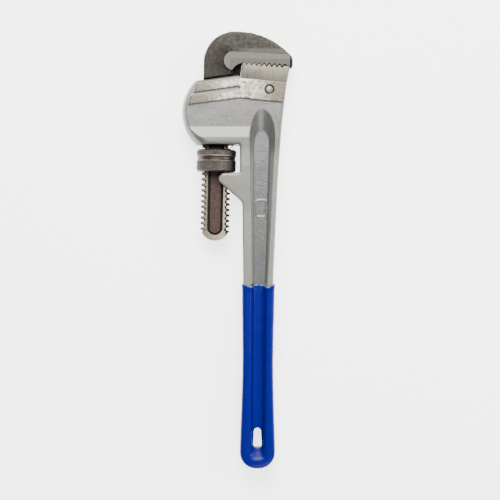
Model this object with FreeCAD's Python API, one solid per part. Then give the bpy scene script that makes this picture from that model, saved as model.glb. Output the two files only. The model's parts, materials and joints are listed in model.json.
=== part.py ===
import FreeCAD, Part
import math
import os

# A straight pipe wrench with an 18-inch aluminium handle, lying on its side.
# Drawing axes: +Y runs up the handle to the jaws, +X from the hook shank to the heel jaw,
# Z is the thickness with 0 in the middle.  Everything is shifted at the end, so that the
# origin is under the middle of the whole tool, on the plane that it lies on.
# Millimetres and degrees throughout.

V = FreeCAD.Vector

# ---- driving dimensions -------------------------------------------------------------
HEAD_HALF = 13.0          # half thickness of the housing
HANDLE_END_HALF = 11.4    # half thickness of the casting under the grip
FLANGE_HALF = 15.5        # half thickness around the nut window
GROUND_HALF = 14.0        # half thickness over the ground surfaces of rib and jaws
WEB_HALF = 4.5            # half thickness of the I-beam web

NUT_CENTRE = V(-39.35, 295.1, 0)   # where the shank's axis crosses the middle of the nut
SHANK_TILT = 1.3                   # the shank leans towards the heel jaw by this much

NUT_RADIUS = 19.0
NUT_TOP = 10.2
NUT_BOTTOM = -11.0
THREAD_PITCH = 5.25
THREAD_CREST = 14.0
THREAD_ROOT = 11.0
THREAD_GAP = 0.25         # running clearance all round the thread
RIDGE_HALF_CREST = 0.7    # half width of a thread ridge at its crest
RIDGE_HALF_ROOT = 1.75    # and at its root

SHANK_THREAD_HALF = 6.5   # half thickness of the threaded shank
SHANK_BAR_HALF = 7.5      # half thickness of the plain bar above the thread
SHANK_BOTTOM = -77.0
THREAD_END = 18.0
SHANK_CAP_HALF = 12.5     # half width of the round end, which has no thread
SHANK_CAP_LENGTH = 9.0
PANEL_HALF_WIDTH = 7.5    # the sunken panel on the shank's faces
PANEL_DEPTH = 1.8
HOOK_BODY_HALF = 12.6
HOOK_ROUNDING = 4.0

WINDOW_REAR = -15.0       # the guide's rear wall, where the hook rocks, in shank axes
WINDOW_GAP = 0.7          # clearance on each side of the shank's bar
PIVOT_HEIGHT = 62.0       # how far above the nut's middle it rocks

TOOTH_COUNT = 8
TOOTH_DEPTH = 3.0
TOOTH_STEEP_SHARE = 0.45  # how far along one pitch the valley lies
SEAT_LEFT = V(-16.0, 373.3, 0)     # the heel jaw sits on the line between these
SEAT_RIGHT = V(28.2, 369.2, 0)
HEEL_FIRST_TIP = V(-12.5, 388.3, 0)
HEEL_LAST_TIP = V(26.1, 385.3, 0)
JAW_GAP_INNER = 0.35      # gap between closed teeth at the throat
JAW_GAP_OUTER = 1.5       # and at the tip

BULGE_CENTRE = V(-29.5, 341.0, 0)   # the housing's round outer side
BULGE_RADIUS = 42.7
BULGE_ROUNDING = 9.0
EDGE_ROUNDING = 2.2       # along the handle's edges
MOUTH_ROUNDING = 3.5

PIN_RADIUS = 3.7
PIN_CENTRE = V(11.4, 362.1, 0)
PIN_CHAMFER = 0.7
PIN_SINK = 0.1            # the pin's ends lie this far below the ground faces
COUNTERSINK = 1.0
TENON_HALF = 5.0

GRIP_TOP = 176.5
GRIP_HALF = 12.6
GRIP_ROUNDING = 3.6
VINYL = 1.15              # thickness of the dipped coat

SPRING_V = 24.0           # height of the coil spring above the nut's middle
STRIP_INNER = 14.25       # flat spring's face next to the thread crests
STRIP_THICK = 1.0
STRIP_HALF_WIDTH = 5.0
SPRING_SEAT = 26.6        # bottom of the coil spring's pocket
SPRING_WIRE = 0.6         # radius of the spring wire
SPRING_COIL = 3.5         # mean radius of the coil
SPRING_TURNS = 5
RIVET_TENON = 1.4         # radius through the strip
RIVET_GUIDE = 2.4         # radius inside the coil


# ---- helpers ------------------------------------------------------------------------
def point(item):
    return item if isinstance(item, FreeCAD.Vector) else V(item[0], item[1], 0)


def outline(*items):
    """A closed wire: a point draws a line to it, a pair of points an arc through the first."""
    start = point(items[0])
    here = start
    edges = []
    for item in items[1:] + (items[0],):
        if isinstance(item, tuple) and isinstance(item[0], tuple):
            middle, end = point(item[0]), point(item[1])
            edges.append(Part.Arc(here, middle, end).toShape())
        else:
            end = point(item)
            if end.distanceToPoint(here) < 1e-6:
                continue
            edges.append(Part.LineSegment(here, end).toShape())
        here = end
    return Part.Wire(edges)


def soft_outline(*corners):
    """A closed wire of straight runs, each (x, y, radius) corner rounded by a tangent arc."""
    spots = [V(x, y, 0) for x, y, radius in corners]
    cuts = []
    for index, (x, y, radius) in enumerate(corners):
        here = spots[index]
        back = (spots[index - 1] - here).normalize()
        ahead = (spots[(index + 1) % len(spots)] - here).normalize()
        half_angle = back.getAngle(ahead) / 2
        reach = radius / math.tan(half_angle)
        to_middle = (back + ahead).normalize()
        depth = radius / math.sin(half_angle) - radius
        cuts.append((here + back * reach, here + to_middle * depth, here + ahead * reach))
    edges = []
    for index, (enter, middle, leave) in enumerate(cuts):
        before = cuts[index - 1][2]
        if before.distanceToPoint(enter) > 1e-6:
            edges.append(Part.LineSegment(before, enter).toShape())
        if enter.distanceToPoint(leave) > 1e-6:
            edges.append(Part.Arc(enter, middle, leave).toShape())
    return Part.Wire(edges)


def slab(wire, low, high):
    """A flat plate of this outline between two heights."""
    face = Part.Face(wire)
    face.translate(V(0, 0, low))
    return face.extrude(V(0, 0, high - low))


def plate(wire, half):
    return slab(wire, -half, half)


def profile_bar(points, x_low, x_high):
    """A bar along X whose cross-section is given as (y, half thickness) points."""
    upper = [V(x_low, y, half) for y, half in points]
    lower = [V(x_low, y, -half) for y, half in reversed(points)]
    wire = Part.makePolygon(upper + lower + [upper[0]])
    return Part.Face(wire).extrude(V(x_high - x_low, 0, 0))


def middle_of(edge):
    return edge.valueAt((edge.FirstParameter + edge.LastParameter) / 2)


def is_upright(edge):
    span = edge.BoundBox
    return span.XLength < 0.01 and span.YLength < 0.01


def rim_edges(solid, wanted):
    """The edges that aren't upright and whose middle passes the test."""
    return [e for e in solid.Edges if not is_upright(e) and wanted(middle_of(e))]


def both_sides(solid):
    """A solid and its mirror image on the other side of the middle plane."""
    return solid.fuse(solid.mirror(V(0, 0, 0), V(0, 0, 1)))


def cylinder_z(x, y, radius, low, high):
    return Part.makeCylinder(radius, high - low, V(x, y, low), V(0, 0, 1))


def from_shank_axes(shape):
    """Place a shape drawn in shank axes, u across and v up the shank, on the wrench."""
    placed = shape.copy()
    placed.rotate(V(0, 0, 0), V(0, 0, 1), -SHANK_TILT)
    placed.translate(NUT_CENTRE)
    return placed


def to_shank_axes(spot):
    """The (u, v) of a drawing point."""
    angle = math.radians(SHANK_TILT)
    across, up = spot.x - NUT_CENTRE.x, spot.y - NUT_CENTRE.y
    return (across * math.cos(angle) - up * math.sin(angle),
            across * math.sin(angle) + up * math.cos(angle))


def along_shank(shape):
    """Turn a shape built along Z so that it runs along the shank's v axis."""
    turned = shape.copy()
    turned.rotate(V(0, 0, 0), V(1, 0, 0), -90)
    return turned


# ---- the teeth ----------------------------------------------------------------------
def heel_tooth_row():
    """Tips and valleys of the heel jaw from the throat outwards, as drawing points."""
    step = (HEEL_LAST_TIP - HEEL_FIRST_TIP) / TOOTH_COUNT
    down = V(step.y, -step.x, 0)
    down.normalize()
    row = []
    for tooth in range(TOOTH_COUNT):
        tip = HEEL_FIRST_TIP + step * tooth
        row.append(tip)
        row.append(tip + step * TOOTH_STEEP_SHARE + down * TOOTH_DEPTH)
    row.append(HEEL_LAST_TIP)
    return row


def hook_tooth_row():
    """The hook's teeth lie in the heel jaw's valleys, with a gap that widens outwards."""
    length = HEEL_LAST_TIP.x - HEEL_FIRST_TIP.x
    row = []
    for spot in heel_tooth_row():
        share = (spot.x - HEEL_FIRST_TIP.x) / length
        gap = JAW_GAP_INNER + share * (JAW_GAP_OUTER - JAW_GAP_INNER)
        row.append(to_shank_axes(spot + V(0, gap, 0)))
    return row


# ---- the handle casting -------------------------------------------------------------
def casting_outline():
    """The whole casting from the mouth to the handle's end, running down the heel side.

    The housing's outer side is left square here, and bulge_envelope() rounds it.
    """
    return soft_outline(
        (-85.0, 369.8, 0), (-52.0, 371.7, 40), (-17.9, 376.5, 0),
        (SEAT_LEFT.x, SEAT_LEFT.y, 0), (SEAT_RIGHT.x, SEAT_RIGHT.y, 0),
        (22.9, 326.0, 600), (19.3, 270.0, 1000), (15.6, 190.0, 1000), (13.7, 95.0, 1200),
        (16.4, VINYL, 15.0), (-16.4, VINYL, 15.0), (-13.1, 95.0, 1200),
        (-14.45, 255.0, 8), (-45.6, 282.8, 5.5), (-16.8, 282.8, 2.0), (-16.8, 309.9, 2.2),
        (-85.0, 309.9, 0))


def recess_section(bottom, left, right, low, low_left, low_right, rise, z):
    """One level of the I-beam panel: straight sides and a half ellipse at the top."""
    centre = V((left + right) / 2, bottom, z)
    across = (right - left) / 2
    if rise >= across:
        ellipse = Part.Ellipse(centre + V(0, rise, 0), centre + V(-across, 0, 0), centre)
    else:
        ellipse = Part.Ellipse(centre + V(across, 0, 0), centre + V(0, rise, 0), centre)
    apex = centre + V(0, rise, 0)
    turn = ellipse.parameter(V(left, bottom, z)), ellipse.parameter(V(right, bottom, z))
    arc = Part.ArcOfEllipse(ellipse, turn[0], turn[1])
    if arc.value((arc.FirstParameter + arc.LastParameter) / 2).distanceToPoint(apex) > 1:
        arc = Part.ArcOfEllipse(ellipse, turn[1], turn[0])
    corners = V(left, bottom, z), V(right, bottom, z)
    feet = V(low_left, low, z), V(low_right, low, z)
    return Part.Wire([
        Part.LineSegment(feet[0], corners[0]).toShape(), arc.toShape(),
        Part.LineSegment(corners[1], feet[1]).toShape(),
        Part.LineSegment(feet[1], feet[0]).toShape()])


def handle_recess():
    """The drafted panel between the handle's flanges, above the grip, on the +Z side."""
    rim = dict(bottom=316.0, left=-7.2, right=16.9, low=GRIP_TOP, low_left=-6.3,
               low_right=10.2, rise=27.0)
    floor = dict(bottom=311.0, left=-2.9, right=11.3, low=GRIP_TOP, low_left=-2.9,
                 low_right=7.6, rise=13.0)
    walls = Part.makeLoft([recess_section(z=WEB_HALF, **floor),
                           recess_section(z=HEAD_HALF, **rim)], True, True)
    above = Part.Face(recess_section(z=HEAD_HALF, **rim)).extrude(V(0, 0, 6))
    return walls.fuse(above)


def grip_recess(grow, floor_half, rim_half):
    """The same panel inside the grip.  `grow` widens it for the casting under the vinyl."""
    def section(left, right, low_left, low_right, low, z):
        wire = outline(
            (left - grow, GRIP_TOP), (low_left - grow, low + 3.0),
            ((low_left + 0.9 - grow * 0.7, low + 0.9 - grow * 0.7), (low_left + 3.0, low - grow)),
            (low_right - 3.0, low - grow),
            ((low_right - 0.9 + grow * 0.7, low + 0.9 - grow * 0.7),
             (low_right + grow, low + 3.0)),
            (right + grow, GRIP_TOP))
        wire.translate(V(0, 0, z))
        return wire
    rim = dict(left=-5.6, right=8.6, low_left=-6.6, low_right=7.0, low=9.4)
    floor = dict(left=-3.4, right=5.6, low_left=-4.4, low_right=4.4, low=19.4)
    walls = Part.makeLoft([section(z=floor_half, **floor), section(z=rim_half, **rim)],
                          True, True)
    above = Part.Face(section(z=rim_half, **rim)).extrude(V(0, 0, 6))
    return walls.fuse(above)


def hang_slot(grow):
    """The slot through the handle's end, round at its top."""
    return plate(outline(
        (-3.3 - grow, 35.4), (-4.0 - grow, 22.4),
        ((-3.4 - grow * 0.7, 20.9 - grow * 0.7), (-2.0, 20.3 - grow)),
        (2.0, 20.3 - grow),
        ((3.5 + grow * 0.7, 20.9 - grow * 0.7), (4.1 + grow, 22.4)),
        (3.3 + grow, 35.4), ((0.0, 38.8 + grow), (-3.3 - grow, 35.4))), 30)


def ground_rib():
    """The raised strip across the housing, ground level with the jaws, with its slot."""
    return both_sides(slab(outline(
        (27.9, 369.2), (24.9, 349.9), (-1.3, 352.5), (-16.2, 354.4), (-65.2, 347.8),
        (-62.6, 356.0), (-18.6, 361.6), ((-16.7, 363.5), (-19.2, 365.3)), (-59.4, 359.4),
        (-56.8, 367.6), (-16.2, 372.5), (-15.9, 373.2)), 10.0, GROUND_HALF))


def hook_window():
    """The guide through the housing for the hook's shank, in shank axes."""
    return plate(outline(
        (WINDOW_REAR, 5.0), (17.5, 5.0), (17.5, 57.0), (20.0, 57.0), (20.0, 64.0),
        (14.5, 66.5), (14.5, 73.0), (22.8, 80.6), (22.8, 98.0), (WINDOW_REAR, 98.0)),
        SHANK_BAR_HALF + WINDOW_GAP)


def lug_slot():
    """The slot between the two prongs that carry the nut, in shank axes."""
    return plate(outline((-60.0, -8.0), (-60.0, -50.0), (18.4, -50.0), (18.4, -8.0)),
                 SHANK_BAR_HALF + WINDOW_GAP)


def cartouche():
    """A blank raised frame on the web, where a size mark would stand."""
    outer = plate(outline((-1.6, 240.6), (8.6, 240.6), (8.6, 257.2), (-1.6, 257.2)),
                  WEB_HALF + 0.5)
    inner = plate(outline((-0.8, 241.4), (7.8, 241.4), (7.8, 256.4), (-0.8, 256.4)), 20)
    outer = outer.makeFillet(2.4, [e for e in outer.Edges if is_upright(e)])
    inner = inner.makeFillet(1.6, [e for e in inner.Edges if is_upright(e)])
    return outer.cut(inner)


def bulge_envelope():
    """What the housing's round side leaves: a disc with an elliptic rim, and all beyond it."""
    flat = BULGE_RADIUS - BULGE_ROUNDING
    rim = Part.Ellipse(V(flat, 0, FLANGE_HALF), V(BULGE_RADIUS, 0, 0), V(flat, 0, 0))
    arc = Part.ArcOfEllipse(rim, 0, math.pi)
    top, bottom = V(0, 0, FLANGE_HALF), V(0, 0, -FLANGE_HALF)
    section = Part.Wire([
        Part.LineSegment(top, arc.StartPoint).toShape(), arc.toShape(),
        Part.LineSegment(arc.EndPoint, bottom).toShape(),
        Part.LineSegment(bottom, top).toShape()])
    disc = Part.Face(section).revolve(V(0, 0, 0), V(0, 0, 1), 360)
    disc.translate(BULGE_CENTRE)
    rest = Part.makeBox(200, 500, 60, V(-42, -20, -30))
    return disc.fuse(rest)


def casting_blank():
    """The casting's outer shape, with its rounded rims, before the panel and the bores."""
    blank = plate(casting_outline(), 18)
    thin = profile_bar([(-5, HANDLE_END_HALF), (GRIP_TOP, HANDLE_END_HALF),
                        (310, HEAD_HALF), (400, HEAD_HALF)], -90, 60)
    thick = profile_bar([(235, HANDLE_END_HALF), (290, FLANGE_HALF), (317, FLANGE_HALF),
                         (326.6, HEAD_HALF - 0.01)], -90, -4)
    body = blank.common(thin.fuse(thick).removeSplitter()).Solids[0]

    def on_right(p):
        return p.x > 13 and p.y < 355 and abs(p.z) > 11

    def on_left(p):
        return p.x < -12 and p.y < 309.5 and abs(p.z) > 11

    def at_end(p):
        return p.y < 5 and abs(p.z) > 11

    def at_mouth(p):
        return p.y > 371.1 and p.x < -17.7 and abs(p.z) > 11

    handle_edges = rim_edges(body, lambda p: on_right(p) or on_left(p) or at_end(p))
    body = body.makeFillet(EDGE_ROUNDING, handle_edges)
    body = body.makeFillet(MOUTH_ROUNDING, rim_edges(body, at_mouth))
    return body.common(bulge_envelope())


def handle_casting():
    body = casting_blank().fuse(ground_rib())
    body = body.cut(both_sides(handle_recess()))
    body = body.cut(both_sides(grip_recess(VINYL, WEB_HALF, HANDLE_END_HALF + 0.2)))
    body = body.fuse(cartouche())
    body = body.cut(hang_slot(VINYL))
    body = body.cut(from_shank_axes(hook_window())).cut(from_shank_axes(lug_slot()))
    body = body.cut(from_shank_axes(spring_pocket())).cut(heel_slot())
    body = body.cut(cylinder_z(PIN_CENTRE.x, PIN_CENTRE.y, PIN_RADIUS, -30, 30))
    ring = Part.makeCone(PIN_RADIUS, PIN_RADIUS + COUNTERSINK, COUNTERSINK,
                         V(PIN_CENTRE.x, PIN_CENTRE.y, GROUND_HALF - COUNTERSINK), V(0, 0, 1))
    return body.cut(both_sides(ring))


def spring_pocket():
    """The blind bore for the coil spring, across the shank."""
    return Part.makeCylinder(SPRING_COIL + SPRING_WIRE + 0.7, SPRING_SEAT - 15.0,
                             V(15.0, SPRING_V, 0), V(1, 0, 0))


def heel_slot():
    return plate(outline((-6.0, 380.0), (-6.0, 351.5), (21.0, 351.5), (21.0, 380.0)),
                 TENON_HALF + 0.05)


# ---- the vinyl grip -----------------------------------------------------------------
def vinyl_grip(casting):
    """The dipped coat: the grip's outer shape less the casting inside it."""
    blank = plate(soft_outline(
        (16.8, GRIP_TOP, 0), (14.9, 95.0, 1200), (17.6, 0.0, 15.8), (-17.6, 0.0, 15.8),
        (-14.2, 95.0, 1200), (-14.9, GRIP_TOP, 0)), GRIP_HALF)
    blank = blank.makeFillet(GRIP_ROUNDING, rim_edges(blank, lambda p: p.y < GRIP_TOP - 1))
    blank = blank.cut(both_sides(grip_recess(0.0, WEB_HALF + VINYL, GRIP_HALF)))
    return blank.cut(hang_slot(0.0)).cut(casting)


# ---- the heel jaw and its pin -------------------------------------------------------
def heel_jaw():
    block = plate(outline(SEAT_LEFT, (-14.95, 386.0), *heel_tooth_row(), (26.9, 384.4),
                          (30.3, 384.1), (30.8, 383.2), SEAT_RIGHT), GROUND_HALF)
    tenon = plate(outline((-5.9, 376.0), (-5.9, 351.6), (20.9, 351.6), (20.9, 376.0)),
                  TENON_HALF)
    jaw = block.fuse(tenon).removeSplitter()
    return jaw.cut(cylinder_z(PIN_CENTRE.x, PIN_CENTRE.y, PIN_RADIUS, -30, 30))


def heel_jaw_pin():
    half_length = GROUND_HALF - PIN_SINK
    pin = cylinder_z(PIN_CENTRE.x, PIN_CENTRE.y, PIN_RADIUS, -half_length, half_length)
    return pin.makeChamfer(PIN_CHAMFER, [pin.Edges[0], pin.Edges[2]])


# ---- thread -------------------------------------------------------------------------
def thread_ridge(grow, low, high):
    """A helical ridge about Z.  `grow` enlarges it all round, to cut the nut's groove."""
    inner = THREAD_ROOT - 0.4
    crest = THREAD_CREST + grow
    slope = (RIDGE_HALF_ROOT - RIDGE_HALF_CREST) / (THREAD_CREST - THREAD_ROOT)
    half_inner = RIDGE_HALF_ROOT + slope * 0.4 + grow
    half_crest = RIDGE_HALF_CREST + grow
    turns = math.floor(low / THREAD_PITCH)
    start = turns * THREAD_PITCH
    section = Part.makePolygon([
        V(inner, 0, start - half_inner), V(crest, 0, start - half_crest),
        V(crest, 0, start + half_crest), V(inner, 0, start + half_inner),
        V(inner, 0, start - half_inner)])
    count = math.ceil((high - start) / THREAD_PITCH)
    helix = Part.makeHelix(THREAD_PITCH, count * THREAD_PITCH, THREAD_ROOT)
    helix.translate(V(0, 0, start))
    return Part.Wire(helix.Edges).makePipeShell([section], True, True)


def adjusting_nut():
    """The knurled nut: two bands with a waist between them, threaded inside."""
    section = Part.makePolygon([
        V(0, 0, NUT_BOTTOM), V(NUT_RADIUS - 1.4, 0, NUT_BOTTOM),
        V(NUT_RADIUS, 0, NUT_BOTTOM + 1.2), V(NUT_RADIUS, 0, -0.4),
        V(NUT_RADIUS - 0.9, 0, 0.6), V(NUT_RADIUS - 0.9, 0, 3.0), V(NUT_RADIUS, 0, 4.0),
        V(NUT_RADIUS, 0, NUT_TOP - 1.2), V(NUT_RADIUS - 1.4, 0, NUT_TOP), V(0, 0, NUT_TOP),
        V(0, 0, NUT_BOTTOM)])
    blank = Part.Face(section).revolve(V(0, 0, 0), V(0, 0, 1), 360)
    bore = Part.makeCylinder(THREAD_ROOT + THREAD_GAP, 60, V(0, 0, -30))
    low, high = NUT_BOTTOM - THREAD_PITCH, NUT_TOP + THREAD_PITCH
    threaded_bore = bore.fuse(thread_ridge(THREAD_GAP, low, high))
    return along_shank(blank.cut(threaded_bore))


# ---- the hook jaw -------------------------------------------------------------------
def hook_body():
    """The forged hook above the housing, in shank axes."""
    body = plate(soft_outline(
        (-14.1, 77.4, 0), (-14.1, 123.4, 30), (45.4, 123.4, 70), (71.1, 99.6, 5),
        (71.1, 90.0, 2), (66.0, 91.2, 0), (66.0, 97.0, 0), (27.0, 97.0, 0), (16.0, 92.0, 0),
        (12.5, 86.5, 0), (14.0, 84.5, 0), (14.0, 82.1, 0)), HOOK_BODY_HALF)
    return body.makeFillet(HOOK_ROUNDING, rim_edges(body, on_hook_back))


def on_hook_back(p):
    on_left = p.x < -5 and p.y > 80
    on_nose = p.x > 69.8 and p.y > 91.5
    return on_left or p.y > 104.5 or on_nose


def hook_land():
    """The side faces ground flat beside the teeth, and the tooth row itself."""
    return plate(outline(
        (5.4, 95.7), ((6.2, 90.6), (9.4, 87.4)), (12.3, 85.6), (13.6, 86.3),
        ((16.6, 89.8), (21.8, 92.6)), *hook_tooth_row(), (65.7, 91.2), (68.2, 91.0),
        (68.2, 98.5), ((67.2, 101.0), (64.4, 102.1)), (12.4, 103.5),
        ((7.6, 101.0), (5.4, 95.7))), GROUND_HALF)


def hook_cove():
    """The sloping shoulder from the ground land up to the forged face."""
    section = [(101.5, 0), (101.5, GROUND_HALF - 0.3), (104.0, HOOK_BODY_HALF + 0.7),
               (107.6, HOOK_BODY_HALF - 0.1), (107.6, 0)]
    corners = [V(12.4, v, z) for v, z in section]
    bar = Part.Face(Part.makePolygon(corners + [corners[0]])).extrude(V(51.0, 0, 0))
    bar.rotate(V(12.4, 103.5, 0), V(0, 0, 1), -1.5)
    return both_sides(bar)


def shank():
    """The bar with its thread on both edges and the sunken panel on both faces."""
    cap_top = SHANK_BOTTOM + SHANK_CAP_LENGTH
    core = Part.makeCylinder(THREAD_ROOT, THREAD_END - cap_top + 10, V(0, 0, cap_top))
    thread = along_shank(core.fuse(thread_ridge(0.0, cap_top, THREAD_END + 2)))
    blank = plate(outline((-15.0, cap_top - 1.0), (15.0, cap_top - 1.0), (15.0, THREAD_END),
                          (-15.0, THREAD_END)), SHANK_THREAD_HALF)
    cap = plate(outline((-SHANK_CAP_HALF, cap_top - 1.0),
                        ((0.0, SHANK_BOTTOM), (SHANK_CAP_HALF, cap_top - 1.0)),
                        (SHANK_CAP_HALF - 1.0, cap_top + 0.3),
                        (-SHANK_CAP_HALF + 1.0, cap_top + 0.3)), SHANK_THREAD_HALF)
    bar = plate(outline((-14.0, THREAD_END - 0.5), (14.0, THREAD_END - 0.5), (14.0, 84.0),
                        (-14.0, 84.0)), SHANK_BAR_HALF)
    panel = slab(outline((-PANEL_HALF_WIDTH, 15.0), (-PANEL_HALF_WIDTH, -65.7),
                         ((0.0, -71.7), (PANEL_HALF_WIDTH, -65.7)),
                         (PANEL_HALF_WIDTH, 15.0)), SHANK_THREAD_HALF - PANEL_DEPTH, 20)
    return thread.common(blank).fuse(cap).fuse(bar).cut(both_sides(panel))


def throat_web():
    """The thinner forging that fills the corner between shank and hook."""
    return plate(outline((12.0, 76.3), (14.2, 76.3), (20.9, 82.6), (20.9, 90.0), (23.0, 94.0),
                         (23.0, 97.0), (12.0, 97.0)), SHANK_THREAD_HALF)


def hook_jaw():
    head = hook_body().fuse([hook_land(), hook_cove(), throat_web()])
    return head.fuse(shank()).removeSplitter()


# ---- the springs --------------------------------------------------------------------
def flat_spring():
    """The strip that lies along the thread crests, with its foot hooked in the housing."""
    outer = STRIP_INNER + STRIP_THICK
    strip = plate(outline((STRIP_INNER, 12.6), (outer, 12.6), (outer, 61.0), (18.6, 61.0),
                          (18.6, 62.0), (STRIP_INNER, 62.0)), STRIP_HALF_WIDTH)
    hole = Part.makeCylinder(RIVET_TENON, 4, V(STRIP_INNER - 1, SPRING_V, 0), V(1, 0, 0))
    return strip.cut(hole)


def spring_rivet():
    """Holds the coil spring on the strip."""
    outer = STRIP_INNER + STRIP_THICK
    across = V(1, 0, 0)
    tenon = Part.makeCylinder(RIVET_TENON, STRIP_THICK + 0.1, V(STRIP_INNER, SPRING_V, 0),
                              across)
    guide = Part.makeCylinder(RIVET_GUIDE, 4.0, V(outer, SPRING_V, 0), across)
    return tenon.fuse(guide).removeSplitter()


def coil_spring():
    """Presses the flat spring's strip, and so the shank, against the guide's rear wall."""
    start = STRIP_INNER + STRIP_THICK + 0.05 + SPRING_WIRE
    length = SPRING_SEAT - SPRING_WIRE - start
    helix = Part.makeHelix(length / SPRING_TURNS, length, SPRING_COIL)
    circle = Part.Circle(V(SPRING_COIL, 0, 0), V(0, 1, 0), SPRING_WIRE)
    coil = Part.Wire(helix.Edges).makePipeShell([Part.Wire(circle.toShape())], True, True)
    coil.rotate(V(0, 0, 0), V(0, 1, 0), 90)
    coil.translate(V(start, SPRING_V, 0))
    return coil


# ---- the whole wrench ---------------------------------------------------------------
def main():
    casting = handle_casting()
    pieces = {
        "handle_casting": casting,
        "vinyl_grip": vinyl_grip(casting),
        "heel_jaw": heel_jaw(),
        "heel_jaw_pin": heel_jaw_pin(),
        "hook_jaw": from_shank_axes(hook_jaw()),
        "adjusting_nut": from_shank_axes(adjusting_nut()),
        "flat_spring": from_shank_axes(flat_spring()),
        "coil_spring": from_shank_axes(coil_spring()),
        "spring_rivet": from_shank_axes(spring_rivet()),
    }
    box = Part.makeCompound(list(pieces.values())).optimalBoundingBox(False)
    shift = V(-(box.XMin + box.XMax) / 2, -(box.YMin + box.YMax) / 2, -box.ZMin)
    os.makedirs("parts", exist_ok=True)
    for name, shape in pieces.items():
        shape = shape.copy()
        shape.translate(shift)
        shape.exportStep("parts/" + name + ".step")
        print(name, shape.ShapeType, "valid", shape.isValid(), "solids", len(shape.Solids),
              "cm3 %.2f" % (shape.Volume / 1000))
    print("size", box.XLength, box.YLength, box.ZLength, "shift", shift)
    pivot = from_shank_axes(Part.Vertex(WINDOW_REAR, PIVOT_HEIGHT, 0)).Point
    print("pivot", pivot + shift, "nut", NUT_CENTRE + shift, "pin", PIN_CENTRE + shift)


main()
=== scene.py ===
import math

import bmesh
import bpy
import numpy as np
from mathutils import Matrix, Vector, noise
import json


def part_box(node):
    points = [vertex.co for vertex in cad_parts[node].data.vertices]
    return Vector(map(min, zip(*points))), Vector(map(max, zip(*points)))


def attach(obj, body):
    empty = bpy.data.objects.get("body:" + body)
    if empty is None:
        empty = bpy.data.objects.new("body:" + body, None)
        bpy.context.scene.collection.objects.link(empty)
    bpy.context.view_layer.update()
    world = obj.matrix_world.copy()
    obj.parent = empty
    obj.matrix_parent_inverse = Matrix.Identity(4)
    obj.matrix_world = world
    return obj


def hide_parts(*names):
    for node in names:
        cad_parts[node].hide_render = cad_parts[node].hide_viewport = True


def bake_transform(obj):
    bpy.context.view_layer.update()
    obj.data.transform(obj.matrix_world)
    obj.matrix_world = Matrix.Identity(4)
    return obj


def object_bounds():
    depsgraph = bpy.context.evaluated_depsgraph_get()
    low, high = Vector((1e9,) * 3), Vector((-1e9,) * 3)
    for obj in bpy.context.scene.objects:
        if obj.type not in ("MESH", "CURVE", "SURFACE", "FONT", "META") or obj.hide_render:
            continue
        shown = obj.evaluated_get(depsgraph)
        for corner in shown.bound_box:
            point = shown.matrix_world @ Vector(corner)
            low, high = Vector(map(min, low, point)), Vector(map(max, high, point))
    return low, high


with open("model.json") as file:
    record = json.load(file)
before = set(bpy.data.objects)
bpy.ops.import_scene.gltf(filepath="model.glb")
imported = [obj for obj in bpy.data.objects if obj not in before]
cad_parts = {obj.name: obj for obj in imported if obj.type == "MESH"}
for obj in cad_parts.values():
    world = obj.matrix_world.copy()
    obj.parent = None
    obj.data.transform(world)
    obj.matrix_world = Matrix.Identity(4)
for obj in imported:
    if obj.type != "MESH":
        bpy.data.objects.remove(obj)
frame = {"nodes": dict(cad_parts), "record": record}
cad_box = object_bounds()

MM = 0.001

# ---- places and sizes, worked out from the frame --------------------------------------
behaviour = frame["record"]["behaviour"]
joints = {joint["name"]: joint for joint in behaviour["joints"]}
NUT_CENTRE = np.array(joints["nut_spin"]["pos_m"])
SHANK_UP = np.array(joints["nut_spin"]["axis"])
SHANK_ACROSS = np.array([SHANK_UP[1], -SHANK_UP[0], 0.0])
THREAD_PITCH = 2 * math.pi / abs(behaviour["couplings"][0]["ratio"]) / MM
MIDDLE_Z = NUT_CENTRE[2]
NUT_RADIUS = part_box("adjusting_nut")[1].z / MM - MIDDLE_Z / MM
PIN_MIDDLE = sum(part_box("heel_jaw_pin"), Vector()) / 2
GROUND_HALF = (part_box("heel_jaw")[1].z - MIDDLE_Z) / MM
GRIP_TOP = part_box("vinyl_grip")[1].y / MM
CASTING_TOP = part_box("handle_casting")[1].y / MM
HEAD_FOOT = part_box("adjusting_nut")[1].y / MM      # the housing's lower edge
FLOOR_Z = cad_box[0].z
RIB_FOOT = CASTING_TOP - 34.0                      # below the ground rib across the housing

# ---- sizes that only the looks need, in millimetres -----------------------------------
KNURL_COUNT = 54          # diamonds round the nut
KNURL_SAMPLES = 10
KNURL_ROWS = 1.2          # from one row of diamonds to the next
KNURL_DEPTH = 0.4
WAIST_LOW, WAIST_HIGH = 0.6, 3.0
WAIST_DEPTH = 0.9
NUT_BEVEL = 1.3
NUT_OUTER_RINGS, NUT_INNER_RINGS = 106, 64
THREAD_CREST = 14.25      # radius at the bottom of the nut's thread
THREAD_FLAT = 0.95        # half width of the groove there
THREAD_SLOPE = 0.35       # how much wider it gets for each millimetre inwards

PIN_SIDES = 48
PIN_CROWN = 0.9           # how far the pin's end curves down at its edge

PANEL_HALF_WIDTH = 7.5    # the sunken panel on the shank
PANEL_FLOOR = 4.7         # the panel's floor from the shank's middle
PANEL_END = -65.7         # where the panel's sides run into its round end, in shank axes
PANEL_END_SQUASH = 1.25   # its half width over the depth of that end
MOAT_HALF_WIDTH = 1.1     # the channel round the inside of that panel
MOAT_DEPTH = 1.1
SHANK_HALF = 6.5          # half thickness of the threaded shank
THREAD_TOP = 17.0         # height where the shank's thread ends, in shank axes
HOOK_START = 76.0         # height in shank axes where the forged hook leaves the housing
THROAT = (12.0, 84.0)     # the inner corner of the hook, in shank axes
BITE_TOP = 98.5           # just above the roots of the hook's teeth, in shank axes
WEB_STRETCH = (81.0, 90.0, 91.5), (0.3, 1.0, 0.0)    # how far the throat's web grows, by height

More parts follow.
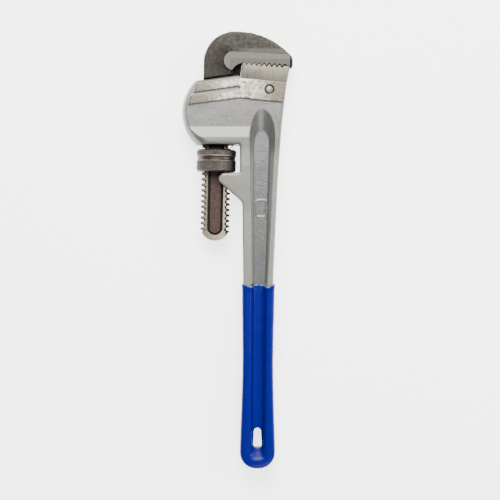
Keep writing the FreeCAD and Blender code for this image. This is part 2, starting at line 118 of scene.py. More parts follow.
DIP_REACH = 9.0           # length at the grip's top that the ragged edge bends
DIP_SAG = 2.2             # how far the coat's edge sags beside the panel
SLOT_LINE = [(19.2, -185.0), (19.2, -174.0)]    # the middle of the hang slot
LIP = "lip_highlight"               # name of the mesh attribute that marks the coat's upper edge, where a highlight is painted
GRIP_RIMS = (12.3, 28.9)  # x of the web panel's two sides under the coat


# ---- helpers for points ---------------------------------------------------------------
def shank_axes(points):
    """Across and up the shank from the nut's centre and out of the middle, in millimetres."""
    away = (points - NUT_CENTRE) / MM
    return away @ SHANK_ACROSS, away @ SHANK_UP, away[:, 2]


def from_shank_axes(u, v, z):
    return NUT_CENTRE + MM * (np.outer(u, SHANK_ACROSS) + np.outer(v, SHANK_UP)
                              + np.outer(z, (0.0, 0.0, 1.0)))


def smooth_step(low, high, values):
    share = np.clip((values - low) / (high - low), 0.0, 1.0)
    return share * share * (3.0 - 2.0 * share)


def noise_field(spots, size, seed):
    """Smooth noise from -1 to 1 at each point; size is that of its lumps."""
    shift = Vector((seed * 17.3, seed * 5.1, seed * 9.7))
    return np.array([noise.noise(Vector(spot) / (size * MM) + shift) for spot in spots])


def distance_to_line(u, v, corners):
    """Distance from each (u, v) to an open line through the corners."""
    best = np.full(len(u), np.inf)
    for (u0, v0), (u1, v1) in zip(corners, corners[1:]):
        du, dv = u1 - u0, v1 - v0
        share = np.clip(((u - u0) * du + (v - v0) * dv) / (du * du + dv * dv), 0, 1)
        best = np.minimum(best, np.hypot(u - u0 - share * du, v - v0 - share * dv))
    return best


# ---- helpers for meshes ---------------------------------------------------------------
def object_from(mesh, name):
    piece = bpy.data.objects.new(name, mesh)
    bpy.context.collection.objects.link(piece)
    return piece


def cad_copy(node, name):
    """A free copy of a CAD node's mesh to work on."""
    return object_from(frame["nodes"][node].data.copy(), name)


def vertices_of(piece):
    spots = np.zeros(len(piece.data.vertices) * 3)
    piece.data.vertices.foreach_get("co", spots)
    return spots.reshape(-1, 3)


def normals_of(piece):
    ways = np.zeros(len(piece.data.vertices) * 3)
    piece.data.vertices.foreach_get("normal", ways)
    return ways.reshape(-1, 3)


def move_vertices(piece, spots):
    piece.data.vertices.foreach_set("co", spots.ravel())
    piece.data.update()


def apply_modifiers(piece):
    graph = bpy.context.evaluated_depsgraph_get()
    made = bpy.data.meshes.new_from_object(piece.evaluated_get(graph))
    piece.modifiers.clear()
    piece.data = made
    return piece


def shade(piece, sharp_degrees):
    """Smooth shading, broken at edges sharper than this."""
    mesh = piece.data
    mesh.polygons.foreach_set("use_smooth", [True] * len(mesh.polygons))
    mesh.set_sharp_from_angle(angle=math.radians(sharp_degrees))


def voxel_skin(piece, voxel, node):
    """Rebuild the mesh as an even skin of small quads that lie on the CAD node's surface."""
    remesh = piece.modifiers.new("skin", "REMESH")
    remesh.mode = "VOXEL"
    remesh.voxel_size = voxel * MM
    remesh.use_smooth_shade = True
    fit = piece.modifiers.new("fit", "SHRINKWRAP")
    fit.target = frame["nodes"][node]
    return apply_modifiers(piece)


def soften(piece, weights, repeats):
    """Round the mesh where the weights, 0 to 1, say so."""
    group = piece.vertex_groups.new(name="soft")
    levels = np.round(weights * 4).astype(int)
    for level in range(1, 5):
        chosen = np.flatnonzero(levels == level).tolist()
        if chosen:
            group.add(chosen, level / 4, "REPLACE")
    smooth = piece.modifiers.new("soften", "SMOOTH")
    smooth.factor = 0.5
    smooth.iterations = repeats
    smooth.vertex_group = "soft"
    apply_modifiers(piece)
    piece.vertex_groups.clear()


def bevel_copy(node, name, width):
    """A CAD piece with its sharp edges broken."""
    piece = cad_copy(node, name)
    form = bmesh.new()
    form.from_mesh(piece.data)
    bmesh.ops.remove_doubles(form, verts=form.verts, dist=0.001 * MM)
    bmesh.ops.dissolve_limit(form, angle_limit=math.radians(1), verts=form.verts,
                             edges=form.edges)
    form.to_mesh(piece.data)
    form.free()
    bevel = piece.modifiers.new("broken_edges", "BEVEL")
    bevel.width = width * MM
    bevel.segments = 2
    bevel.limit_method = "ANGLE"
    bevel.angle_limit = math.radians(35)
    bevel.harden_normals = True
    piece.data.polygons.foreach_set("use_smooth", [True] * len(piece.data.polygons))
    return apply_modifiers(piece)


def ring_grid(rings, closed=False):
    """Points and quads of rings of equal length, each joined to the next.

    With closed, the last ring joins the first as well.
    """
    count = len(rings[0])
    index = np.arange(len(rings) * count).reshape(len(rings), count)
    lower = index if closed else index[:-1]
    upper = np.roll(index, -1, axis=0) if closed else index[1:]
    quads = np.stack([lower, np.roll(lower, -1, axis=1), np.roll(upper, -1, axis=1), upper],
                     axis=-1)
    return np.concatenate(rings), quads.reshape(-1, 4)


def solid_from(points, faces, name, sharp_degrees):
    """A closed piece from its points and faces, turned outwards and shaded."""
    mesh = bpy.data.meshes.new(name)
    mesh.from_pydata(points.tolist(), [], faces)
    form = bmesh.new()
    form.from_mesh(mesh)
    bmesh.ops.recalc_face_normals(form, faces=form.faces)
    form.to_mesh(mesh)
    form.free()
    piece = object_from(mesh, name)
    shade(piece, sharp_degrees)
    return piece


# ---- helpers for materials ------------------------------------------------------------
def add(tree, kind, inputs=None, **settings):
    """One shader node; an input's value is a number, a tuple or another node's output."""
    made = tree.nodes.new(kind)
    for key, value in settings.items():
        setattr(made, key, value)
    for key, value in (inputs or {}).items():
        if isinstance(value, bpy.types.NodeSocket):
            tree.links.new(value, made.inputs[key])
        else:
            made.inputs[key].default_value = value
    return made


def maths(tree, operation, first, second=0.0, third=0.0):
    made = add(tree, "ShaderNodeMath", {0: first, 1: second, 2: third}, operation=operation)
    return made.outputs[0]


def times(tree, first, second):
    return maths(tree, "MULTIPLY", first, second)


def inverse(tree, value):
    return maths(tree, "SUBTRACT", 1.0, value)


def between(tree, value, low, high):
    """0 at low and 1 at high, smooth in between; low may be the greater."""
    made = add(tree, "ShaderNodeMapRange",
               {"Value": value, "From Min": low, "From Max": high},
               interpolation_type="SMOOTHSTEP")
    return made.outputs["Result"]


def mix(tree, share, first, second):
    """One colour into another by share."""
    made = add(tree, "ShaderNodeMix", data_type="RGBA")
    for socket, value in ((0, share), (6, first), (7, second)):
        if isinstance(value, bpy.types.NodeSocket):
            tree.links.new(value, made.inputs[socket])
        elif socket == 0:
            made.inputs[0].default_value = value
        else:
            made.inputs[socket].default_value = (*value, 1.0)
    return made.outputs[2]


def millimetres(tree):
    """Places on the piece in millimetres, in the wrench's own frame."""
    place = add(tree, "ShaderNodeTexCoord").outputs["Object"]
    return stretched(tree, place, (1000.0,) * 3)


def stretched(tree, place, scale):
    made = add(tree, "ShaderNodeVectorMath", {0: place, 1: scale}, operation="MULTIPLY")
    return made.outputs[0]


def facing_up(tree):
    """How far the surface faces along the wrench, towards its jaws."""
    normal = add(tree, "ShaderNodeTexCoord").outputs["Normal"]
    return add(tree, "ShaderNodeSeparateXYZ", {0: normal}).outputs["Y"]


def x_y_height(tree, place):
    """X, Y and the distance from the middle plane."""
    parts = add(tree, "ShaderNodeSeparateXYZ", {0: place}).outputs
    height = maths(tree, "ABSOLUTE", maths(tree, "SUBTRACT", parts["Z"], MIDDLE_Z / MM))
    return parts["X"], parts["Y"], height


def shank_sockets(tree, place):
    """Across and up the shank and out of the middle, as shader values."""
    away = add(tree, "ShaderNodeVectorMath", {0: place, 1: tuple(NUT_CENTRE / MM)},
               operation="SUBTRACT").outputs[0]
    across = add(tree, "ShaderNodeVectorMath", {0: away, 1: tuple(SHANK_ACROSS)},
                 operation="DOT_PRODUCT").outputs["Value"]
    up = add(tree, "ShaderNodeVectorMath", {0: away, 1: tuple(SHANK_UP)},
             operation="DOT_PRODUCT").outputs["Value"]
    out = add(tree, "ShaderNodeSeparateXYZ", {0: away}).outputs["Z"]
    return across, up, maths(tree, "ABSOLUTE", out)


def length(tree, first, second):
    """The length of two sides at a right angle."""
    squares = maths(tree, "MULTIPLY_ADD", first, first, times(tree, second, second))
    return maths(tree, "SQRT", squares)


def lumps(tree, place, size, detail=3.0, roughness=0.55):
    """Noise from 0 to 1 whose lumps are about `size` millimetres."""
    made = add(tree, "ShaderNodeTexNoise",
               {"Vector": place, "Scale": 1.0 / size, "Detail": detail,
                "Roughness": roughness})
    return made.outputs["Fac"]


def bump(tree, height, distance, strength=1.0, under=None):
    inputs = {"Height": height, "Distance": distance * MM, "Strength": strength}
    if under is not None:
        inputs["Normal"] = under
    return add(tree, "ShaderNodeBump", inputs).outputs["Normal"]


def new_material(name):
    material = bpy.data.materials.new(name)
    material.use_nodes = True
    return material, material.node_tree


def finish_material(tree, **sockets):
    """Give the surface shader its values or links, by the shader's socket names."""
    shader = tree.nodes["Principled BSDF"]
    for key, value in sockets.items():
        socket = shader.inputs[key.replace("_", " ")]
        if isinstance(value, bpy.types.NodeSocket):
            tree.links.new(value, socket)
        else:
            socket.default_value = value


# ---- materials ------------------------------------------------------------------------
def ground_mask(tree, height, place):
    """1 on the faces ground level with the jaws, with a slightly uneven border."""
    uneven = maths(tree, "MULTIPLY_ADD", lumps(tree, place, 1.3), 0.3, -0.15)
    return between(tree, maths(tree, "ADD", height, uneven),
                   GROUND_HALF - 0.40, GROUND_HALF - 0.20)


def paint_colour(tree, place, y, height, coarse):
    """Pale grey paint: warmer on the handle and, as painted light, lighter there; greener in
    its panel, specked.
    """
    clouds = between(tree, lumps(tree, place, 16.0), 0.3, 0.7)
    # painted light: the handle's paint gets a far lighter tone than the same paint on the head
    handle = mix(tree, clouds, (0.158, 0.152, 0.134), (0.176, 0.171, 0.153))
    head = mix(tree, clouds, (0.058, 0.056, 0.047), (0.068, 0.065, 0.056))
    on_head = between(tree, y, HEAD_FOOT - 12.0, HEAD_FOOT + 4.0)
    paint = mix(tree, on_head, handle, head)
    paint = mix(tree, between(tree, height, 8.0, 5.5), paint, (0.052, 0.060, 0.060))
    paint = mix(tree, times(tree, coarse, 0.30), paint, (0.20, 0.20, 0.185))
    specks = between(tree, lumps(tree, place, 1.7, 2.0), 0.71, 0.76)
    return mix(tree, times(tree, specks, 0.4), paint, (0.05, 0.04, 0.03))


def bare_colour(tree, place, x):
    """Bare aluminium with a painted highlight bright in the middle of the rib, with brown
    clouds and pits.
    """
    # painted highlight: lighter towards the rib's middle, darker towards its ends
    middle = between(tree, maths(tree, "ABSOLUTE", maths(tree, "ADD", x, -2.0)), 36.0, 8.0)
    metal = mix(tree, middle, (0.100, 0.083, 0.060), (0.50, 0.475, 0.40))
    cloudy = between(tree, lumps(tree, place, 3.2, 6.0, 0.78), 0.42, 0.58)
    metal = mix(tree, times(tree, cloudy, 0.80), metal, (0.085, 0.070, 0.050))
    pits = between(tree, lumps(tree, place, 2.1, 3.0, 0.6), 0.56, 0.63)
    return mix(tree, times(tree, pits, 0.8), metal, (0.045, 0.028, 0.015))


def rib_shade_and_pin_ring(tree, place, on_rib, height):
    """Painted shade on the rib's lower edges, whose walls face away from the jaws, and a darker
    ring round the pin.
    """
    # painted shade on the rib's walls that face away from the jaws
    under = times(tree, between(tree, facing_up(tree), -0.15, -0.45),
                  times(tree, on_rib, between(tree, height, 12.6, 13.1)))
    pin = (PIN_MIDDLE.x / MM, PIN_MIDDLE.y / MM, 0.0)
    from_pin = add(tree, "ShaderNodeVectorMath",
                   {0: stretched(tree, place, (1.0, 1.0, 0.0)), 1: pin}, operation="DISTANCE")
    ring = between(tree, from_pin.outputs["Value"], 5.3, 4.4)
    return maths(tree, "MAXIMUM", times(tree, under, 0.8), times(tree, ring, 0.85))


def casting_material():
    """Cast aluminium under pale grey paint, its rib ground bare and a little stained, with
    painted shade under the rib's lower edges.
    """
    material, tree = new_material("painted_casting")
    place = millimetres(tree)
    x, y, height = x_y_height(tree, place)
    coarse = between(tree, lumps(tree, place, 1.5, 3.0, 0.7), 0.35, 0.75)
    on_rib = between(tree, y, RIB_FOOT, RIB_FOOT + 1.0)
    bare = times(tree, ground_mask(tree, height, place), on_rib)

    colour = mix(tree, bare, paint_colour(tree, place, y, height, coarse),
                 bare_colour(tree, place, x))
    # painted shade under the rib's lower edges, and a darker ring round the pin
    colour = mix(tree, rib_shade_and_pin_ring(tree, place, on_rib, height), colour, (0.03, 0.02, 0.014))
    streaks = lumps(tree, stretched(tree, place, (1.0, 7.0, 1.0)), 1.6, 2.0)
    grain = lumps(tree, place, 0.9, 4.0, 0.65)
    skin = bump(tree, maths(tree, "ADD", grain, coarse), 0.07, 0.8)
    skin = bump(tree, lumps(tree, place, 6.0), 0.5, 0.2, skin)
    finish_material(
        tree, Base_Color=colour, Metallic=times(tree, bare, 0.6),
        Roughness=maths(tree, "MULTIPLY_ADD", streaks, 0.12, 0.25),
        Specular_IOR_Level=1.0, Normal=skin)
    return material


def ground_steel():
    """Steel ground with fine lines along the wrench, with painted shade on the teeth's flanks.
    """
    material, tree = new_material("ground_steel")
    place = millimetres(tree)
    lines = lumps(tree, stretched(tree, place, (1.0, 0.045, 0.3)), 0.8, 4.0, 0.7)
    marks = between(tree, lumps(tree, place, 2.2, 3.0), 0.69, 0.75)
    colour = mix(tree, lumps(tree, place, 9.0), (0.130, 0.118, 0.093), (0.155, 0.140, 0.110))
    colour = mix(tree, between(tree, lines, 0.42, 0.75), colour, (0.075, 0.067, 0.052))
    colour = mix(tree, times(tree, marks, 0.6), colour, (0.07, 0.06, 0.05))
    # painted shade: the teeth's flanks facing the jaws' gap go near black
    shaded_flank = between(tree, facing_up(tree), 0.15, 0.35)
    colour = mix(tree, shaded_flank, colour, (0.004, 0.003, 0.003))
    finish_material(tree, Base_Color=colour, Metallic=0.45,
                    Roughness=maths(tree, "MULTIPLY_ADD", lines, 0.2, 0.33),
                    Normal=bump(tree, lines, 0.03, 0.6))
    return material


def pin_steel():
    """The pin's hammered end, darker round its edge."""
    material, tree = new_material("pin_steel")
    place = millimetres(tree)
    dents = lumps(tree, place, 1.6, 3.0)
    height = x_y_height(tree, place)[2]
    edge = between(tree, height, GROUND_HALF - 0.25, GROUND_HALF - 0.75)
    colour = mix(tree, dents, (0.13, 0.11, 0.09), (0.25, 0.23, 0.19))
    finish_material(tree, Base_Color=mix(tree, edge, colour, (0.05, 0.04, 0.03)),
                    Metallic=0.6, Roughness=0.38, Normal=bump(tree, dents, 0.25, 0.6))
    return material


def forging_colour(tree, across, up, mottle, fine):
    """Mottled scale with painted shade low down and round the throat, and a greenish cove."""
    scale = mix(tree, mottle, (0.008, 0.006, 0.004), (0.058, 0.053, 0.042))
    scale = mix(tree, times(tree, fine, 0.25), scale, (0.070, 0.064, 0.052))
    # painted shade: the scale goes darker low down on the hook
    low = mix(tree, 0.5, scale, (0.013, 0.009, 0.006))
    scale = mix(tree, between(tree, up, 98.0, 116.0), low, scale)
    # painted shade round the throat
    from_throat = length(tree, maths(tree, "SUBTRACT", across, THROAT[0]),
                         maths(tree, "SUBTRACT", up, THROAT[1]))
    throat_shade = times(tree, between(tree, from_throat, 25.0, 9.0), between(tree, up, 108.0, 92.0))
    scale = mix(tree, times(tree, throat_shade, 0.85), scale, (0.008, 0.006, 0.005))
    cove = times(tree, between(tree, up, 102.0, 103.5), between(tree, up, 108.5, 106.0))
    cove = times(tree, cove, between(tree, across, 14.0, 34.0))
    return mix(tree, times(tree, cove, 0.6), scale, (0.092, 0.096, 0.082))


def shank_colour(tree, across, out, mottle, rim):
    """Worn bright on its flat rims, with painted light lighter to the right and painted shade
    on the right-hand teeth and the thread's flanks; brown in the sunken panel.
    """
    # painted light: the worn rims go lighter towards the right
    worn = mix(tree, between(tree, across, -9.0, 9.0), (0.19, 0.155, 0.115),
               (0.40, 0.36, 0.28))
    worn = mix(tree, times(tree, mottle, 0.4), worn, (0.14, 0.11, 0.085))
    # painted shade: the teeth on the right go near black
    worn = mix(tree, between(tree, across, 9.8, 10.6), worn, (0.016, 0.011, 0.009))
    panel = mix(tree, mottle, (0.034, 0.021, 0.017), (0.060, 0.043, 0.035))
    moat = between(tree, out, PANEL_FLOOR - 0.1, PANEL_FLOOR - 0.4 * MOAT_DEPTH)
    panel = mix(tree, times(tree, moat, 0.95), panel, (0.004, 0.003, 0.002))
    in_panel = between(tree, maths(tree, "ABSOLUTE", across), PANEL_HALF_WIDTH,
                       PANEL_HALF_WIDTH - 0.3)
    # painted shade: the thread off the flat rims goes near black
    shank = mix(tree, rim, (0.016, 0.011, 0.009), worn)
    return mix(tree, times(tree, in_panel, inverse(tree, rim)), shank, panel)


def hook_material():
    """Forging scale, ground beside the teeth, cut bare over the thread, with painted shade in
    the throat, in the teeth's gap and where it leaves the housing.
    """
    material, tree = new_material("forged_hook")
    place = millimetres(tree)
    across, up, out = shank_sockets(tree, place)
    mottle = between(tree, lumps(tree, place, 3.0, 6.0, 0.78), 0.38, 0.62)
    fine = lumps(tree, place, 0.9, 3.0)
    on_thread = between(tree, up, THREAD_TOP + 0.5, THREAD_TOP - 0.5)
    rim = times(tree, on_thread, between(tree, out, SHANK_HALF - 0.45, SHANK_HALF - 0.15))

    colour = mix(tree, on_thread, forging_colour(tree, across, up, mottle, fine),
                 shank_colour(tree, across, out, mottle, rim))
    # painted shade where the hook leaves the housing and inside it
    housing_shade = times(tree, between(tree, up, 8.0, 10.0),
                       between(tree, up, HOOK_START + 6.0, HOOK_START))
    colour = mix(tree, times(tree, housing_shade, 0.6), colour, (0.010, 0.008, 0.007))
    # painted shade in the teeth's gap and on the sunken sides of the throat
    in_bite = times(tree, between(tree, up, 97.6, 96.8), between(tree, across, 10.5, 11.5))
    gap_shade = maths(tree, "MAXIMUM", in_bite, between(tree, out, 9.0, 8.0))
    gap_shade = times(tree, gap_shade, between(tree, up, 74.0, 75.0))
    colour = mix(tree, times(tree, gap_shade, 0.9), colour, (0.004, 0.003, 0.003))
    ground = times(tree, ground_mask(tree, out, place), between(tree, up, 70.0, 72.0))
    land = mix(tree, lumps(tree, place, 7.0), (0.118, 0.117, 0.100), (0.132, 0.130, 0.112))
    colour = mix(tree, ground, colour, land)

    # rougher where shade is painted: the gap, the throat and the thread's flanks
    shaded_zone = maths(tree, "MAXIMUM", gap_shade, times(tree, on_thread, inverse(tree, rim)))
    rough = maths(tree, "MULTIPLY_ADD", shaded_zone, 0.3,
                  maths(tree, "MULTIPLY_ADD", mottle, 0.15, 0.45))
    pitted = bump(tree, fine, 0.08, 0.6, bump(tree, mottle, 0.30, 0.55))
    finish_material(tree, Base_Color=colour, Roughness=rough, Normal=pitted,
                    Metallic=times(tree, maths(tree, "MAXIMUM", ground, rim), 0.4),
                    Specular_IOR_Level=0.22)
    return material


def nut_material():
    """Dark steel, its knurl worn bright, with rust on one side and a painted shadow on the
    other.
    """
    material, tree = new_material("knurled_nut")
    place = millimetres(tree)
    across, up, out = shank_sockets(tree, place)
    radius = length(tree, across, out)
    mottle = lumps(tree, place, 4.0, 4.0)
    dark = mix(tree, mottle, (0.014, 0.011, 0.009), (0.026, 0.020, 0.016))
    crest = between(tree, radius, NUT_RADIUS - KNURL_DEPTH * 0.6, NUT_RADIUS)
    worn = mix(tree, mottle, (0.19, 0.166, 0.130), (0.28, 0.250, 0.200))
    colour = mix(tree, crest, dark, worn)
    waist_radius = NUT_RADIUS - WAIST_DEPTH
    waist = times(tree, between(tree, up, WAIST_LOW - 0.4, WAIST_LOW),
                  between(tree, up, WAIST_HIGH + 0.4, WAIST_HIGH))
    waist = times(tree, waist, between(tree, radius, waist_radius + 0.25, waist_radius + 0.05))
    colour = mix(tree, waist, colour, (0.034, 0.026, 0.020))
    # painted shadow: the nut's right side, shaded by the handle, goes near black
    painted_shadow = between(tree, across, 0.55 * NUT_RADIUS, 0.85 * NUT_RADIUS)
    colour = mix(tree, times(tree, painted_shadow, 0.8), colour, (0.006, 0.005, 0.004))
    rust = times(tree, between(tree, across, -6.0, -15.0),
                 between(tree, lumps(tree, place, 6.0), 0.35, 0.6))
    colour = mix(tree, times(tree, rust, 0.6), colour, (0.055, 0.022, 0.017))
    core = between(tree, radius, THREAD_CREST + 1.5, THREAD_CREST + 0.5)
    colour = mix(tree, times(tree, core, 0.8), colour, (0.01, 0.008, 0.007))
    finish_material(tree, Base_Color=colour, Metallic=0.5, Roughness=0.36,
                    Normal=bump(tree, lumps(tree, place, 0.7), 0.04, 0.4))
    return material


def spring_material():
    """Blued spring steel under oil."""
    material, tree = new_material("blued_spring")
    place = millimetres(tree)
    clouds = lumps(tree, place, 2.5, 4.0)
    finish_material(tree, Base_Color=mix(tree, clouds, (0.012, 0.012, 0.016),
                                         (0.035, 0.032, 0.032)),
                    Metallic=0.7, Roughness=maths(tree, "MULTIPLY_ADD", clouds, 0.2, 0.25),
                    Normal=bump(tree, clouds, 0.03, 0.3))
    return material


def vinyl_material():
    """Smooth dipped vinyl, its shine slightly waved, with a painted highlight in places along
    its upper edge.
    """
    material, tree = new_material("blue_vinyl")
    place = millimetres(tree)
    waves = lumps(tree, stretched(tree, place, (1.0, 0.4, 1.0)), 6.0, 2.0)
    fine = lumps(tree, place, 1.1, 3.0)
    colour = mix(tree, waves, (0.0004, 0.0010, 0.125), (0.0008, 0.0026, 0.150))
    lip_highlight = add(tree, "ShaderNodeAttribute", attribute_name=LIP).outputs["Fac"]
    lip_highlight = times(tree, lip_highlight, between(tree, lumps(tree, place, 2.4), 0.35, 0.6))
    # painted highlight: pale blue in patches along the coat's thick upper edge
    colour = mix(tree, times(tree, lip_highlight, 0.75), colour, (0.14, 0.30, 0.46))
    finish_material(tree, Base_Color=colour,
                    Roughness=maths(tree, "MULTIPLY_ADD", fine, 0.08, 0.30),
                    Specular_IOR_Level=0.18,
                    Normal=bump(tree, waves, 0.4, 0.25, bump(tree, fine, 0.02, 0.2)))
    return material


def floor_material():
    material, tree = new_material("pale_floor")
    place = millimetres(tree)
    colour = mix(tree, lumps(tree, place, 90.0), (0.90, 0.90, 0.90), (0.92, 0.92, 0.92))
    finish_material(tree, Base_Color=colour, Roughness=0.9, Emission_Color=(1, 1, 1, 1),
                    Emission_Strength=2.6)
    return material


# ---- pieces ---------------------------------------------------------------------------
def stand_for(piece, node, material):
    """Put the material on, and let the piece stand for its CAD node."""
    piece.data.materials.clear()
    piece.data.materials.append(material)
    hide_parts(node)


def finish_piece(piece, body, node, material):
    """The same for a piece that rides on one body."""
    stand_for(piece, node, material)
    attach(piece, body)


def make_casting():
    """The casting with soft edges and the slight waves of a sand mould."""
    piece = voxel_skin(cad_copy("handle_casting", "casting"), 0.55, "handle_casting")
    spots = vertices_of(piece)
    height = np.abs(spots[:, 2] - MIDDLE_Z) / MM
    on_rib = (height > GROUND_HALF - 0.7) & (spots[:, 1] / MM > RIB_FOOT)
    soften(piece, np.where(on_rib, 0.5, 1.0), 5)
    spots = vertices_of(piece)
    waves = noise_field(spots, 14.0, 1) * 0.12
    spots += normals_of(piece) * (np.where(on_rib, 0.0, waves) * MM)[:, None]
    move_vertices(piece, spots)
    finish_piece(piece, "handle", "handle_casting", casting_material())


def filled_grip():
    """The grip's coat joined with the handle inside it, so that the thin coat stays whole."""
    piece = cad_copy("vinyl_grip", "dipped_grip")
    form = bmesh.new()
    form.from_mesh(frame["nodes"]["handle_casting"].data)
    cut = bmesh.ops.bisect_plane(
        form, geom=form.verts[:] + form.edges[:] + form.faces[:], clear_outer=True,
        plane_co=(0, (GRIP_TOP - 0.5) * MM, 0), plane_no=(0, 1, 0))
    rim = [item for item in cut["geom_cut"] if isinstance(item, bmesh.types.BMEdge)]
    bmesh.ops.triangle_fill(form, edges=rim, use_beauty=True)
    form.from_mesh(piece.data)
    form.to_mesh(piece.data)
    form.free()
    return piece


def make_grip():
    """The dipped coat: soft all over, with a thick and ragged upper edge."""
    piece = voxel_skin(filled_grip(), 0.5, "vinyl_grip")
    spots = vertices_of(piece)
    below = GRIP_TOP - spots[:, 1] / MM
    from_slot = distance_to_line(spots[:, 0] / MM, spots[:, 1] / MM, SLOT_LINE)
    rounded = smooth_step(1.0, 7.0, below) * smooth_step(4.5, 8.5, from_slot)
    soften(piece, np.ones(len(spots)), 6)
    soften(piece, rounded, 150)
    spots = vertices_of(piece)
    below = GRIP_TOP - spots[:, 1] / MM
    outwards = normals_of(piece)
    near_edge = 1.0 - smooth_step(0.0, 2.4, below)
    spots += outwards * (near_edge * 0.40 * MM)[:, None]
    # marks the upper edge where the highlight is painted
    lip_highlight = piece.data.attributes.new(LIP, "FLOAT", "POINT")
    lip_highlight.data.foreach_set("value", 1.0 - smooth_step(0.4, 1.3, below))
    spots += outwards * (noise_field(spots, 11.0, 2) * 0.15 * MM)[:, None]

    across = spots[:, 0] / MM
    beside_panel = sum(np.exp(-((across - rim) / 3.4) ** 2) for rim in GRIP_RIMS)
    bend = 1.0 - smooth_step(0.0, DIP_REACH, below)
    ragged = noise_field(spots * (1, 0, 1), 3.0, 3) * 0.7 - 0.4
    spots[:, 1] += bend * (ragged - DIP_SAG * beside_panel) * MM
    move_vertices(piece, spots)
    finish_piece(piece, "handle", "vinyl_grip", vinyl_material())


def moat_depth(u, v, z):
    """The channel cast round the inside of the shank's panel, in millimetres."""
    from_axis = np.hypot(u, PANEL_END_SQUASH * np.minimum(v - PANEL_END, 0.0))
    off_moat = np.abs(from_axis - (PANEL_HALF_WIDTH - 0.4 - MOAT_HALF_WIDTH))
    inside = 1.0 - smooth_step(0.5 * MOAT_HALF_WIDTH, MOAT_HALF_WIDTH, off_moat)
    on_floor = 1.0 - smooth_step(PANEL_FLOOR + 0.25, PANEL_FLOOR + 0.6, np.abs(z))
    return MOAT_DEPTH * inside * on_floor


def make_hook():
    """The forging: uneven faces, with a hollow between its back and the ground land."""
    piece = voxel_skin(cad_copy("hook_jaw", "hook"), 0.34, "hook_jaw")
    spots = vertices_of(piece)
    u, v, z = shank_axes(spots)
    forged = smooth_step(HOOK_START, HOOK_START + 6, v)
    forged *= 1.0 - smooth_step(GROUND_HALF - 0.9, GROUND_HALF - 0.4, np.abs(z))
    forged *= np.where((u > 9.0) & (v < BITE_TOP), 0.0, 1.0)
    soften(piece, 0.25 + 0.75 * forged, 5)

    spots = vertices_of(piece)
    u, v, z = shank_axes(spots)
    to_throat = distance_to_line(u, v, [(13.0, 74.0), (10.0, 85.0), (4.0, 91.0), (4.0, 98.0)])
    hollow = 1.0 - smooth_step(2.0, 12.0, to_throat)
    hollow *= forged * smooth_step(8.0, 12.0, np.abs(z))
    spots[:, 2] -= np.sign(z) * hollow * 2.6 * MM
    spots[:, 2] -= np.sign(z) * moat_depth(u, v, z) * MM
    web_edge = (np.abs(z) < SHANK_HALF + 1.0) & (v > 81.0) & (v < 91.5)
    stretch = smooth_step(17.5, 20.7, u) * np.interp(v, *WEB_STRETCH)
    spots += np.outer(np.where(web_edge, stretch, 0.0) * MM, SHANK_ACROSS)
    rough = noise_field(spots, 9.0, 4) * 0.35 + noise_field(spots, 2.6, 5) * 0.12
    spots += normals_of(piece) * (forged * rough * MM)[:, None]
    move_vertices(piece, spots)
    finish_piece(piece, "hook", "hook_jaw", hook_material())


def nut_profile(heights, low, high):
    """The nut's radius up its side: bevelled ends and the waist between the bands."""
    return np.interp(
        heights,
        [low, low + NUT_BEVEL, WAIST_LOW - 1.0, WAIST_LOW, WAIST_HIGH, WAIST_HIGH + 1.0,
         high - NUT_BEVEL, high],
        NUT_RADIUS - np.array([NUT_BEVEL, 0, 0, WAIST_DEPTH, WAIST_DEPTH, 0, 0, NUT_BEVEL]))


def triangle_wave(values):
    return 1.0 - np.abs(2.0 * (values % 1.0) - 1.0)


def knurl(turns, heights, low, high):
    """How deep the diamond knurl is cut, from 0 on its crests."""
    rows = heights / (2 * KNURL_ROWS)
    columns = turns * KNURL_COUNT
    diamonds = np.minimum(triangle_wave(columns + rows), triangle_wave(columns - rows))
    lower = smooth_step(low + 1.0, low + 1.7, heights)
    lower *= 1.0 - smooth_step(WAIST_LOW - 1.7, WAIST_LOW - 1.2, heights)
    upper = smooth_step(WAIST_HIGH + 1.2, WAIST_HIGH + 1.7, heights)
    upper *= 1.0 - smooth_step(high - 1.7, high - 1.0, heights)
    return (1.0 - diamonds) * (lower + upper) * KNURL_DEPTH


def thread_radius(turns, heights, bore):
    """The nut's inside: a bore with a helical groove."""
    off = (heights / THREAD_PITCH - turns + 0.5) % 1.0 - 0.5
    beyond_flat = np.maximum(np.abs(off) * THREAD_PITCH - THREAD_FLAT, 0.0)
    return np.maximum(THREAD_CREST - beyond_flat / THREAD_SLOPE, bore)


def make_nut():
    """The adjusting nut, ring by ring: up its knurled side and down its thread."""
    u, v, z = shank_axes(vertices_of(frame["nodes"]["adjusting_nut"]))
    low, high = v.min(), v.max()
    bore = np.hypot(u, z).min()
    turns = np.arange(KNURL_COUNT * KNURL_SAMPLES) / (KNURL_COUNT * KNURL_SAMPLES)
    angle = 2 * math.pi * turns
    rings = []
    for height in np.linspace(low, high, NUT_OUTER_RINGS):
        radius = nut_profile(height, low, high) - knurl(turns, height, low, high)
        rings.append((radius, height))
    for height in np.linspace(high, low, NUT_INNER_RINGS):
        radius = thread_radius(turns, height, bore)
        rings.append((radius, height))
    points, quads = ring_grid(
        [from_shank_axes(radius * np.cos(angle), np.full(len(angle), height),
                         -radius * np.sin(angle)) for radius, height in rings], closed=True)
    piece = solid_from(points, quads.tolist(), "nut", 32)
    finish_piece(piece, "nut", "adjusting_nut", nut_material())


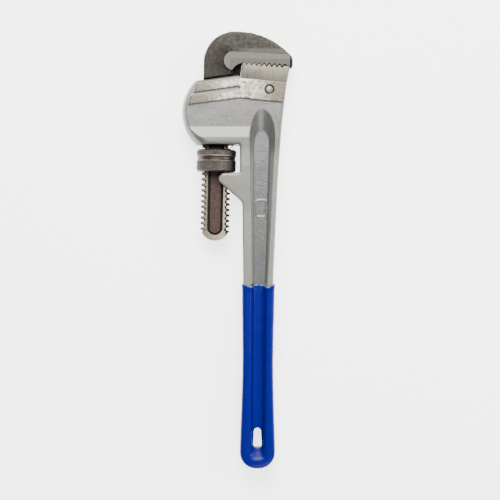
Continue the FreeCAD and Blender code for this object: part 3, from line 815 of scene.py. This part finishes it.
def make_pin():
    """The heel jaw's pin with a hammered, slightly domed end on each side."""
    low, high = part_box("heel_jaw_pin")
    radius = (high.x - low.x) / 2
    half = (high.z - low.z) / 2
    end = [(0.02, 0.0), (0.35, 0.04), (0.62, 0.14), (0.80, 0.30), (0.92, 0.55), (1.0, 1.0)]
    upper = [(share * radius, half - drop * PIN_CROWN * MM) for share, drop in end]
    profile = upper + [(r, -z) for r, z in reversed(upper)]
    angle = np.linspace(0, 2 * math.pi, PIN_SIDES, endpoint=False)
    circle = np.stack([np.cos(angle), np.sin(angle), np.zeros(PIN_SIDES)], axis=-1)
    points, quads = ring_grid([np.array(PIN_MIDDLE) + r * circle + (0, 0, z)
                               for r, z in profile])
    first, last = list(range(PIN_SIDES)), list(range(len(points) - PIN_SIDES, len(points)))
    piece = solid_from(points, quads.tolist() + [first, last[::-1]], "pin", 50)
    finish_piece(piece, "handle", "heel_jaw_pin", pin_steel())


def make_heel():
    piece = bevel_copy("heel_jaw", "heel", 0.25)
    finish_piece(piece, "handle", "heel_jaw", ground_steel())


def make_coil(material):
    """The coil, which shortens between its seat in the handle and the rocking strip; here it
    keeps its CAD shape.
    """
    piece = cad_copy("coil_spring", "coil")
    shade(piece, 40)
    across, up = shank_axes(vertices_of(piece))[:2]
    stand_for(piece, "coil_spring", material)
    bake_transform(piece)


def dress_springs(material):
    """The strip and its rivet keep their CAD shape."""
    for node in ("flat_spring", "spring_rivet"):
        for slot in frame["nodes"][node].material_slots:
            slot.material = material


# ---- stage ----------------------------------------------------------------------------
def make_floor():
    half = 3.0
    mesh = bpy.data.meshes.new("floor")
    mesh.from_pydata([(-half, -half, FLOOR_Z), (half, -half, FLOOR_Z),
                      (half, half, FLOOR_Z), (-half, half, FLOOR_Z)], [], [(0, 1, 2, 3)])
    floor = object_from(mesh, "floor")
    mesh.materials.append(floor_material())


def softbox(name, way, distance, size, radiance, colour):
    """A round soft light in this direction, aimed at the middle of the wrench."""
    lamp = bpy.data.lights.new(name, "AREA")
    lamp.shape = "DISK"
    lamp.size = size
    lamp.energy = radiance * math.pi * math.pi * (size / 2) ** 2
    lamp.color = colour
    holder = bpy.data.objects.new(name, lamp)
    bpy.context.collection.objects.link(holder)
    holder.location = Vector(way).normalized() * distance
    holder.rotation_euler = Vector(way).to_track_quat("Z", "Y").to_euler()


def light_the_scene():
    world = bpy.data.worlds.new("studio")
    world.use_nodes = True
    background = world.node_tree.nodes["Background"]
    background.inputs["Color"].default_value = (0.82, 0.94, 1.0, 1.0)
    background.inputs["Strength"].default_value = 0.16
    bpy.context.scene.world = world
    softbox("key", (-0.04, 0.56, 0.83), 1.3, 0.95, 19.0, (1.0, 0.985, 0.95))
    softbox("right", (0.85, 0.25, 0.50), 1.3, 0.9, 8.0, (1.0, 0.98, 0.95))
    softbox("fill", (0.20, -0.75, 0.62), 1.4, 1.1, 4.5, (0.94, 0.98, 1.0))


def place_camera():
    """Square above the wrench with a long lens."""
    view_width = 0.4775       # in metres, 9 mm above the middle of the wrench
    lens = bpy.data.cameras.new("camera")
    lens.lens = 120.0
    lens.sensor_width = 36.0
    lens.clip_end = 10.0
    camera = bpy.data.objects.new("camera", lens)
    bpy.context.collection.objects.link(camera)
    away = view_width * lens.lens / lens.sensor_width
    camera.location = (0.01206, 0.0001, MIDDLE_Z + 0.009 + away)
    bpy.context.scene.camera = camera


make_casting()
make_grip()
make_hook()
make_nut()
make_heel()
make_pin()
spring_steel = spring_material()
make_coil(spring_steel)
dress_springs(spring_steel)
make_floor()
light_the_scene()
place_camera()
